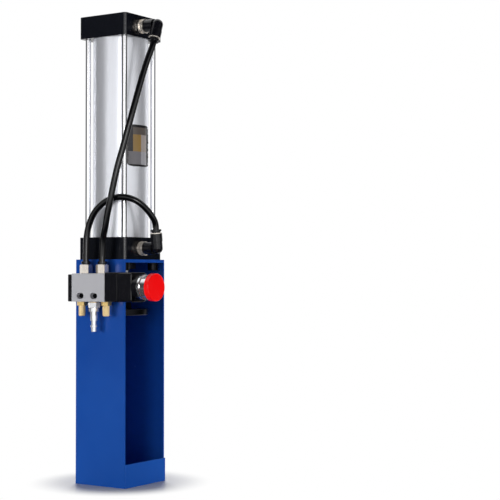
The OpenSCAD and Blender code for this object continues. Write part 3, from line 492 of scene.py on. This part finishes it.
# %% Valve body
blasted = finish("valve_aluminium")
beads = blasted.grain(blasted.place(), 2600, 2)
blasted.surface({
    "Base Color": blasted.blend(beads, srgb(181, 181, 186), srgb(199, 199, 203)),
    "Metallic": 0.2,
    "Roughness": 0.48 + 0.1 * beads,
    "Normal": blasted.relief(beads, 0.02 * MM),
})
print("blasted aluminium")

# %% [markdown]
# ## Blackened steel
# The crush disc, its nut and the screws are blackened and oiled, which leaves a cloudy, dark skin. The
# disc's lower rim is painted bright: a painted highlight, where that edge catches the light. It could be a
# piece of its own, but a mask by height paints that band and leaves the mesh alone.

# %% Blackened steel
DISC_LOW = extent("crush_disc", "z")[0]
# The band of the disc's lower rim that is painted bright as a painted highlight.
RIM_HIGHLIGHT_BAND = (DISC_LOW - 0.1 * MM, DISC_LOW + 1.0 * MM)

blackened = finish("dark_steel")
oxide = blackened.grain(blackened.place(), 90, 5)
up = blackened.node("ShaderNodeSeparateXYZ", {}, {0: blackened.place()}, output="Z")
# Mask of the painted highlight on the disc's lower rim.
highlighted = (up > RIM_HIGHLIGHT_BAND[0]) * (up < RIM_HIGHLIGHT_BAND[1])
dull = blackened.blend(oxide, srgb(18, 18, 21), srgb(34, 34, 38))
blackened.surface({
    "Base Color": blackened.blend(highlighted, dull, srgb(170, 170, 174)),
    "Metallic": 0.9,
    "Roughness": 0.24 + 0.16 * oxide,
    "Normal": blackened.relief(blackened.grain(blackened.place(), 1800, 2), 0.01 * MM),
})
print("blackened steel with a rubbed rim")

# %% [markdown]
# ## End caps
# The cylinder's end caps are cast aluminium under a smooth black coat. What one sees is the coat and not
# the metal, so this is a glossy shader with no metal in it. A fine noise keeps the casting's skin under the
# coat, and a slow one varies the gloss as a dipped coat does.

# %% End caps
black_coat = finish("black_caps")
cast = black_coat.grain(black_coat.place(), 900, 3)
black_coat.surface({
    "Base Color": black_coat.blend(cast, srgb(7, 9, 16), srgb(13, 16, 25)),
    "Roughness": 0.2 + 0.1 * black_coat.grain(black_coat.place(), 70, 4),
    "Normal": black_coat.relief(cast, 0.006 * MM),
    "Specular IOR Level": 0.7,
})
print("black coat on a casting")

# %% [markdown]
# ## Plated parts
# The fittings are brass under nickel, which is a little warm. The air plug hangs lower and is plated cold
# and bright. Its hexagon is painted matt and nearly white: a painted highlight. The elbows' studs, in front
# of the caps, are painted lighter and a little matt: a painted highlight too. All of them share one slot,
# so masks by height and by depth tell them apart. The bezel round the button is chrome.

# %% Plating
PLUG_HEXAGON = (224.5 * MM, 230.9 * MM)
STUD_FRONT = extent("front_cap", "y")[0] + 0.5 * MM

plate = finish("nickel")
haze = plate.grain(plate.place(), 120, 3)
at = plate.node("ShaderNodeSeparateXYZ", {}, {0: plate.place()})
up = at.beside("Z")
on_plug = up < PLUG_HEXAGON[1]
on_stud = at.beside("Y") < STUD_FRONT
# Where the plating is made matt: the plug's hexagon, and the studs in part, as painted highlights.
matt = (up > PLUG_HEXAGON[0]) * on_plug + 0.3 * on_stud
warm = plate.blend(haze, srgb(212, 203, 192), srgb(230, 223, 214))
# The studs get a lighter colour here as a painted highlight.
warm = plate.blend(on_stud, warm, srgb(252, 243, 232))
plate.surface({
    "Base Color": plate.blend(on_plug, warm, srgb(246, 247, 249)),
    "Metallic": 0.8 - 0.08 * on_plug - 0.72 * matt,
    "Roughness": 0.08 + 0.1 * haze + 0.25 * matt,
})

mirror = finish("chrome")
breath = mirror.grain(mirror.place(), 80, 3)
mirror.surface({
    "Base Color": mirror.blend(breath, srgb(236, 238, 242), srgb(250, 250, 252)),
    "Metallic": 0.92,
    "Roughness": 0.05 + 0.05 * breath,
})
print("nickel and chrome")

# %% [markdown]
# ## Brass
# The silencers' hexagons are open brass that has begun to tarnish. Their tips are bronze grains that were
# sintered together, so light breaks on every grain. A Voronoi texture suits them, because the distance to
# its nearest point makes a heap of small domes.

# %% Brass
open_brass = finish("brass")
tarnish = open_brass.grain(open_brass.place(), 140, 4)
open_brass.surface({
    "Base Color": open_brass.blend(tarnish, srgb(216, 180, 108), srgb(238, 209, 148)),
    "Metallic": 0.9,
    "Roughness": 0.2 + 0.16 * tarnish,
})

sintered = finish("sintered_brass")
cells = sintered.node("ShaderNodeTexVoronoi", {}, {"Vector": sintered.place(), "Scale": 1900.0})
sintered.surface({
    "Base Color": sintered.blend(cells, srgb(255, 230, 176), srgb(242, 206, 144)),
    "Metallic": 0.15,
    "Roughness": 0.42 + 0.2 * cells,
    "Normal": sintered.relief(1 - cells, 0.12 * MM),
})
print("open and sintered brass")

# %% [markdown]
# ## Moulded plastics
# The blocks, collars and elbows are black moulded nylon with a fine spark-eroded texture, and the button is
# red and glossy. A perfectly smooth surface would look like wet paint. Moulded parts get a shallow, fine
# relief, so that a highlight breaks up at its rim as it does on a real moulding.

# %% Moulded plastics
moulded = finish("black_plastic")
spark = moulded.grain(moulded.place(), 1700, 3)
moulded.surface({
    "Base Color": moulded.blend(spark, srgb(9, 9, 13), srgb(18, 18, 25)),
    "Roughness": 0.18 + 0.12 * moulded.grain(moulded.place(), 130, 3),
    "Normal": moulded.relief(spark, 0.006 * MM),
    "Specular IOR Level": 0.6,
})

signal = finish("red_plastic")
flow = signal.grain(signal.place(), 45, 3)
signal.surface({
    "Base Color": signal.blend(flow, srgb(246, 8, 12), srgb(254, 18, 20)),
    "Roughness": 0.16 + 0.1 * flow,
    "Normal": signal.relief(signal.grain(signal.place(), 900, 1), 0.006 * MM),
})
print("black and red mouldings")

# %% [markdown]
# ## Hose, acetal and rubber
# The hose is polyurethane, smooth and a little waxy, with a faint grain along its run. The guide ring and
# the button's stem are white acetal, which lets a little light in. The seals are nitrile rubber, with the
# grey bloom that such rubber gets. These two are hidden until the machine is opened, and they are finished
# all the same.

# %% Hose, acetal and rubber
tubing = finish("hose")
wax = tubing.grain(tubing.place((260, 260, 30)), 1, 3)
tubing.surface({
    "Base Color": tubing.blend(wax, srgb(5, 5, 7), srgb(12, 12, 15)),
    "Roughness": 0.1 + 0.06 * wax,
    "Normal": tubing.relief(tubing.grain(tubing.place(), 500, 2), 0.008 * MM),
    "IOR": 1.6,
    "Specular IOR Level": 0.4,
})

acetal = finish("white_plastic")
milk = acetal.grain(acetal.place(), 200, 2)
acetal.surface({
    "Base Color": acetal.blend(milk, srgb(224, 223, 215), srgb(238, 237, 230)),
    "Roughness": 0.36 + 0.1 * milk,
    "Subsurface Weight": 0.05,
})

nitrile = finish("seal_rubber")
bloom = nitrile.grain(nitrile.place(), 600, 3)
nitrile.surface({
    "Base Color": nitrile.blend(bloom, srgb(14, 14, 15), srgb(32, 32, 33)),
    "Roughness": 0.55 + 0.2 * bloom,
})
print("hose, acetal and rubber")

# %% [markdown]
# ## The label
# A printed foil wraps the front of the barrel. Here it carries no words: a dark border, a grey field, a
# darker head band and one ochre block. A picture would need unwrapping. The pattern is drawn from two
# lengths instead, the way round the barrel and the height, and simple comparisons cut it into blocks with
# sharp edges. Where the print has worn, noise moves the edge.

# %% Label print
BARREL_R = extent("cylinder_barrel", "x")[1]
LABEL_W = 38 * MM
LABEL_LEFT = 4.75 * MM
LABEL_Z = extent("barrel_label", "z")
WORN_EDGE = 3 * MM
# Edges of the printed blocks, in millimetres from the label's middle and from its lower edge.
FIELD_LEFT, DARK_RIGHT, OCHRE_RIGHT, FIELD_RIGHT = -17.5, -11, 1.75, 13
FIELD_LOW, FOOT_TOP, HEAD_LOW, FIELD_TOP = 2.5, 19, 40.5, 49.6

foil = finish("label")
at = foil.node("ShaderNodeSeparateXYZ", {}, {0: foil.place()})
height = at.beside("Z")
round_way = at.maths("ARCTAN2", at, at.beside("Y") * -1) * BARREL_R + LABEL_LEFT
worn_way = round_way + WORN_EDGE * (foil.grain(foil.place(), 420, 3) - 0.5)


def block(across, left, right, low, high):
    """A mask of one printed block."""
    wide = (across > left * MM) * (across < right * MM)
    return wide * (height > LABEL_Z[0] + low * MM) * (height < LABEL_Z[0] + high * MM)


field = block(worn_way, FIELD_LEFT, FIELD_RIGHT, FIELD_LOW, FIELD_TOP)
head = block(worn_way, FIELD_LEFT, FIELD_RIGHT, HEAD_LOW, FIELD_TOP)
dark_strip = block(round_way, FIELD_LEFT, DARK_RIGHT, FOOT_TOP, FIELD_TOP)
ochre = block(round_way, DARK_RIGHT, OCHRE_RIGHT, FOOT_TOP, HEAD_LOW)
warm_strip = block(worn_way, OCHRE_RIGHT, FIELD_RIGHT, FOOT_TOP, HEAD_LOW)
pale_foot = block(worn_way, OCHRE_RIGHT, FIELD_RIGHT, FIELD_LOW, FOOT_TOP)

ink = foil.blend(field, srgb(14, 14, 18), srgb(110, 108, 112))
ink = foil.blend(head, ink, srgb(84, 77, 72))
ink = foil.blend(dark_strip, ink, srgb(28, 28, 34))
ink = foil.blend(ochre, ink, srgb(140, 112, 62))
ink = foil.blend(warm_strip, ink, srgb(150, 141, 136))
ink = foil.blend(pale_foot, ink, srgb(150, 149, 153))
fibre = foil.grain(foil.place(), 700, 2)
foil.surface({
    "Base Color": foil.blend(0.08 * fibre, ink, srgb(150, 148, 148)),
    "Roughness": 0.16 + 0.12 * fibre,
    "Normal": foil.relief(foil.grain(foil.place(), 260, 2), 0.04 * MM),
})
print("label print,", len(finishes), "finishes in all")

# %% [markdown]
# ## Putting the finishes on
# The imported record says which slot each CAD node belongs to, so one loop dresses them all. The hoses were
# made before their finish was, so they get it here too.

# %% Dress the pieces
subparts = frame["record"]["subparts"]
for row in subparts:
    piece = cad_nodes[row["node"]]
    piece.data.materials.clear()
    piece.data.materials.append(finishes[row["material_slot"]])
for hose in hoses:
    hose.data.materials.append(finishes["hose"])
print(len(subparts), "nodes and", len(hoses), "hoses dressed")

# %% [markdown]
# ## Rounding the edges
# CAD edges are perfectly sharp, and nothing real is. They could be rounded in CAD, at the price of many
# more faces to build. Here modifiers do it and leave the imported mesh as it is: a weld closes the seams, a
# dissolve joins the triangles of a flat face, a bevel rounds the edges by a few tenths of a millimetre, and
# weighted normals keep the flat faces flat. The two large black blocks of the valve have wide rounds, which
# would fold the short edges round their bores. There a few geometry nodes pick out the outer edges alone.

# %% Widths of the rounds
# In millimetres.
EDGE_ROUND = {
    "floor_plate": 0.4, "front_lip": 0.3, "top_plate": 0.2, "front_cap": 0.12, "rear_cap": 0.12,
    "crush_disc": 0.6, "jam_nut": 0.25, "mounting_screws": 0.5, "valve_end_cap": 0.09,
    "actuator_block": 0.37, "adapter_plate": 0.5, "button_block": 1.0, "button_collar": 0.6,
    "button_bezel": 0.4, "button_cap": 0.2, "silencer_bases": 0.1, "inlet_plug": 0.2,
    "lower_elbow_stud": 0.15, "upper_elbow_stud": 0.15, "lower_elbow_body": 0.17, "upper_elbow_body": 0.17,
    "elbow_rings": 0.2, "rear_port_collar": 0.2, "front_port_collar": 0.2, "lower_elbow_collar": 0.4,
    "upper_elbow_collar": 0.4, "tie_rod_nuts": 0.15, "valve_screws": 0.2, "end_cap_screws": 0.3,
}
print(len(EDGE_ROUND), "nodes with rounds of", min(EDGE_ROUND.values()), "to", max(EDGE_ROUND.values()), "mm")

# %% Outer edges of the blocks
# A point on the spool's line, and how far from that line two blocks keep their edges sharp.
SPOOL_AXIS = Vector((sum(extent("valve_spool", "x")) / 2, 0.0, sum(extent("valve_spool", "z")) / 2))
CLEAR_OF_BORE = {"actuator_block": 9 * MM, "button_block": 12 * MM}
EDGE_ANGLE = math.radians(28)


def mark_outer_edges(piece, reach):
    """Gives a bevel weight to the sharp edges that lie farther than reach from the spool's line."""
    tree = bpy.data.node_groups.new(piece.name + "_outer_edges", "GeometryNodeTree")
    for way in ("INPUT", "OUTPUT"):
        tree.interface.new_socket("Geometry", in_out=way, socket_type="NodeSocketGeometry")
    sheet = NodeSheet(tree)
    shape = sheet.node("NodeGroupInput", output="Geometry")
    there = sheet.node("ShaderNodeVectorMath", {"operation": "SUBTRACT"}, {
        0: sheet.node("GeometryNodeInputPosition"), 1: tuple(SPOOL_AXIS)})
    aside = sheet.node("ShaderNodeVectorMath", {"operation": "MULTIPLY"}, {0: there, 1: (1, 0, 1)})
    far = sheet.length(aside) > reach
    sharp = sheet.node("GeometryNodeInputMeshEdgeAngle", output="Unsigned Angle") > EDGE_ANGLE
    marked = sheet.node("GeometryNodeStoreNamedAttribute", {"data_type": "FLOAT", "domain": "EDGE"}, {
        "Geometry": shape, "Name": "bevel_weight_edge", "Value": far * sharp})
    sheet.node("NodeGroupOutput", {}, {"Geometry": marked})
    piece.modifiers.new("outer_edges", "NODES").node_group = tree


print(len(CLEAR_OF_BORE), "blocks are rounded clear of their bores")

# %% Round the edges
WELD_GAP = 0.002 * MM
FLAT_ANGLE = math.radians(0.4)
ROUND_STEPS = 2


def round_edges(piece, width):
    """Closes the seams, joins flat triangles, rounds the edges and keeps the flat faces flat."""
    weld = piece.modifiers.new("close_seams", "WELD")
    weld.merge_threshold = WELD_GAP
    flat = piece.modifiers.new("join_flats", "DECIMATE")
    flat.decimate_type = "DISSOLVE"
    flat.angle_limit = FLAT_ANGLE
    clear_of_bore = CLEAR_OF_BORE.get(piece.name)
    if clear_of_bore:
        mark_outer_edges(piece, clear_of_bore)
    bevel = piece.modifiers.new("edge_round", "BEVEL")
    bevel.width = width
    bevel.segments = ROUND_STEPS
    bevel.limit_method = "WEIGHT" if clear_of_bore else "ANGLE"
    bevel.angle_limit = EDGE_ANGLE
    bevel.use_clamp_overlap = False
    bevel.face_strength_mode = "FSTR_ALL"
    normals = piece.modifiers.new("flat_faces", "WEIGHTED_NORMAL")
    normals.use_face_influence = True


for node, width in EDGE_ROUND.items():
    round_edges(cad_nodes[node], width * MM)
print(sum(len(cad_nodes[node].modifiers) for node in EDGE_ROUND), "modifiers in all")

# %% [markdown]
# ## Springs
# Two coil springs push the button and the spool back. The CAD draws each as a rough polygon. A finer coil
# takes its place: the wire is round, and most of a turn at each end lies flat, so that the spring stands
# square. A Screw modifier would wind the coil evenly and leave no flat ends, so its points are worked out.
# Both springs shorten as the button goes towards their fixed end, but nothing here moves them: each curve
# simply becomes a mesh.

# %% Springs
# Piece, CAD node and joint, then mean diameter, wire, turns and both ends along the spool, in millimetres.
SPRINGS = [
    ("button_return_coil", "button_spring", "button_press", 13.2, 1.0, 6, (-67.45, -54.05)),
    ("spool_return_coil", "spool_spring", "spool_shift", 7.6, 0.7, 4, (23.1, 32.15)),
]
TURN_STEPS = 24
FLAT_TURN = 0.75


def as_mesh(piece):
    """The same piece as a plain mesh, with its modifiers and curve made real."""
    scene_now = bpy.context.evaluated_depsgraph_get()
    mesh = bpy.data.meshes.new_from_object(piece.evaluated_get(scene_now))
    made = bpy.data.objects.new(piece.name + "_mesh", mesh)
    bpy.context.scene.collection.objects.link(made)
    name = piece.name
    bpy.data.objects.remove(piece)
    made.name = name
    return made


for name, cad_spring, joint, mean_d, wire_d, turns, (near_end, fixed_end) in SPRINGS:
    low, high = near_end + wire_d / 2, fixed_end - wire_d / 2
    line = []
    for k in range(turns * TURN_STEPS + 1):
        angle = 2 * math.pi * k / TURN_STEPS
        share = min(1.0, max(0.0, (k / TURN_STEPS - FLAT_TURN) / (turns - 2 * FLAT_TURN)))
        line.append(SPOOL_AXIS + Vector((mean_d / 2 * math.cos(angle), low + share * (high - low),
                                         mean_d / 2 * math.sin(angle))) * MM)
    coil = as_mesh(tube_curve(name, line, wire_d * MM))
    coil.data.materials.append(finishes["bright_steel"])
    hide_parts(cad_spring)
    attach(coil, "frame")
    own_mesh(coil)
    print(name, "has", len(coil.data.vertices), "points")

# %% [markdown]
# ## The label's foil
# The real label has been on the barrel for a while: its corners are round, and its right and lower edges
# have come loose and wrinkled. Such a stiff foil needs no cloth simulation. A grid of points is bent round
# the barrel, each row is as wide as the round corners allow, and noise lifts the points near the loose
# edges. A solidify modifier gives the foil its thickness.

# %% Label foil
LABEL_COLUMNS, LABEL_ROWS = 60, 84
CORNER_W, CORNER_H = 8 * MM, 4.5 * MM
FOIL_T = 0.15 * MM
FOIL_GAP = 0.1 * MM
LOOSE_EDGE = 5 * MM
LOOSE_LIFT = 1.1 * MM
# Creases to the metre, round and up the barrel, the slice of the noise, and how much of the edge lifts.
CREASE_ROUND, CREASE_UP = 260, 330
CREASE_SLICE = 4.0
CREASE_SHARE = 0.45

foil_mesh = bmesh.new()
rows = []
for j in range(LABEL_ROWS + 1):
    z = LABEL_Z[0] + (LABEL_Z[1] - LABEL_Z[0]) * j / LABEL_ROWS
    into_corner = max(0.0, 1 - min(z - LABEL_Z[0], LABEL_Z[1] - z) / CORNER_H)
    half = LABEL_W / 2 - CORNER_W * (1 - math.sqrt(1 - into_corner ** 2))
    row = []
    for i in range(LABEL_COLUMNS + 1):
        way_round = half * (2 * i / LABEL_COLUMNS - 1)
        to_edge = min(half - way_round, z - LABEL_Z[0])
        loose = max(0.0, 1 - to_edge / LOOSE_EDGE) ** 2
        crease = noise.noise(Vector((way_round * CREASE_ROUND, z * CREASE_UP, CREASE_SLICE)))
        r = BARREL_R + FOIL_GAP + LOOSE_LIFT * loose * max(0.0, CREASE_SHARE + crease)
        turn_by = (way_round - LABEL_LEFT) / BARREL_R
        row.append(foil_mesh.verts.new((r * math.sin(turn_by), -r * math.cos(turn_by), z)))
    rows.append(row)
for low, high in zip(rows, rows[1:]):
    for a, b, c, d in zip(low, low[1:], high[1:], high):
        foil_mesh.faces.new((a, b, c, d)).smooth = True


def mesh_piece(name, made, slot, body):
    """Turns finished bmesh work into a piece with its finish, on its body."""
    mesh = bpy.data.meshes.new(name)
    made.to_mesh(mesh)
    made.free()
    mesh.materials.append(finishes[slot])
    piece = bpy.data.objects.new(name, mesh)
    bpy.context.scene.collection.objects.link(piece)
    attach(piece, body)
    return piece


label_foil = mesh_piece("label_foil", foil_mesh, "label", "frame")
thick = label_foil.modifiers.new("foil_thickness", "SOLIDIFY")
thick.thickness = FOIL_T
thick.offset = 1.0
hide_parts("barrel_label")
print("label of", len(label_foil.data.vertices), "points")

# %% [markdown]
# ## Silencer tips
# The silencers let the spent air out through a plug of sintered bronze grains. The grains are about half a
# millimetre across, so they show at the outline, where a bump in the finish would leave a smooth edge. A
# ring of points is turned about each silencer's axis, and cell noise pushes it out where a grain sits.

# %% Silencer tips
EXHAUST_YS = (19.9 * MM, -18.9 * MM)
TIP_LOW, TIP_TOP = extent("silencer_elements", "z")
TIP_LEFT, TIP_RIGHT = extent("silencer_elements", "x")
TIP_R = (TIP_RIGHT - TIP_LEFT) / 2
TIP_CHAMFER = 1 * MM
GRAIN = 0.55 * MM
GRAIN_PROUD = 0.16 * MM
GRAIN_SLOPE = 1.5
TIP_ROUND, TIP_STEPS = 96, 44

grains = bmesh.new()
for exhaust_y in EXHAUST_YS:
    rings = []
    for j in range(TIP_STEPS + 1):
        z = TIP_LOW + (TIP_TOP - TIP_LOW) * j / TIP_STEPS
        r = TIP_R - max(0.0, TIP_CHAMFER - (z - TIP_LOW)) - GRAIN_PROUD
        ring = []
        for i in range(TIP_ROUND):
            angle = 2 * math.pi * i / TIP_ROUND
            out = Vector((math.cos(angle), math.sin(angle), 0.0))
            spot = Vector((SPOOL_AXIS.x, exhaust_y, z)) + out * r
            near = noise.voronoi(spot / GRAIN)[0][0]
            ring.append(grains.verts.new(spot + out * GRAIN_PROUD * max(0.0, 1 - GRAIN_SLOPE * near)))
        rings.append(ring)
    for low, high in zip(rings, rings[1:]):
        for i in range(TIP_ROUND):
            n = (i + 1) % TIP_ROUND
            grains.faces.new((low[i], low[n], high[n], high[i])).smooth = True
    grains.faces.new(list(reversed(rings[0])))
    grains.faces.new(rings[-1])
silencer_tips = mesh_piece("silencer_tips", grains, "sintered_brass", "frame")
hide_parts("silencer_elements")
print("silencer tips of", len(silencer_tips.data.vertices), "points")

# %% [markdown]
# ## The rod's thread
# Between the jam nut and the thick part of the rod, a finger's width of thread shows. It is a 1.5 mm screw
# thread. A Screw modifier could wind it, but a ridge of points that climbs one pitch in each turn can also
# fade out at both ends. Its foot is hidden in the rod.

# %% Rod thread
THREAD_R = 8 * MM
THREAD_PITCH = 1.5 * MM
THREAD_HIGH = 0.45 * MM
THREAD_SUNK = 0.1 * MM
THREAD_FOOT, THREAD_CREST = 0.6 * MM, 0.1 * MM
THREAD_Z = (extent("jam_nut", "z")[1] + 0.3 * MM, 243.2 * MM)
THREAD_STEPS = 48

thread = bmesh.new()
ridge = []
turns = (THREAD_Z[1] - THREAD_Z[0]) / THREAD_PITCH
for k in range(int(turns * THREAD_STEPS) + 1):
    angle = 2 * math.pi * k / THREAD_STEPS
    z = THREAD_Z[0] + THREAD_PITCH * k / THREAD_STEPS
    fade = min(1.0, k / THREAD_STEPS, (turns * THREAD_STEPS - k) / THREAD_STEPS)
    section = []
    for proud, rise in ((-THREAD_SUNK, -THREAD_FOOT), (THREAD_HIGH * fade, -THREAD_CREST),
                        (THREAD_HIGH * fade, THREAD_CREST), (-THREAD_SUNK, THREAD_FOOT)):
        r = THREAD_R + proud
        section.append(thread.verts.new((r * math.cos(angle), r * math.sin(angle), z + rise)))
    ridge.append(section)
for low, high in zip(ridge, ridge[1:]):
    for i in range(len(low)):
        n = (i + 1) % len(low)
        thread.faces.new((low[i], high[i], high[n], low[n]))
thread.faces.new(ridge[0])
thread.faces.new(list(reversed(ridge[-1])))
rod_thread = mesh_piece("rod_thread", thread, "bright_steel", "ram")
print("thread of", round(turns, 1), "turns and", len(rod_thread.data.vertices), "points")
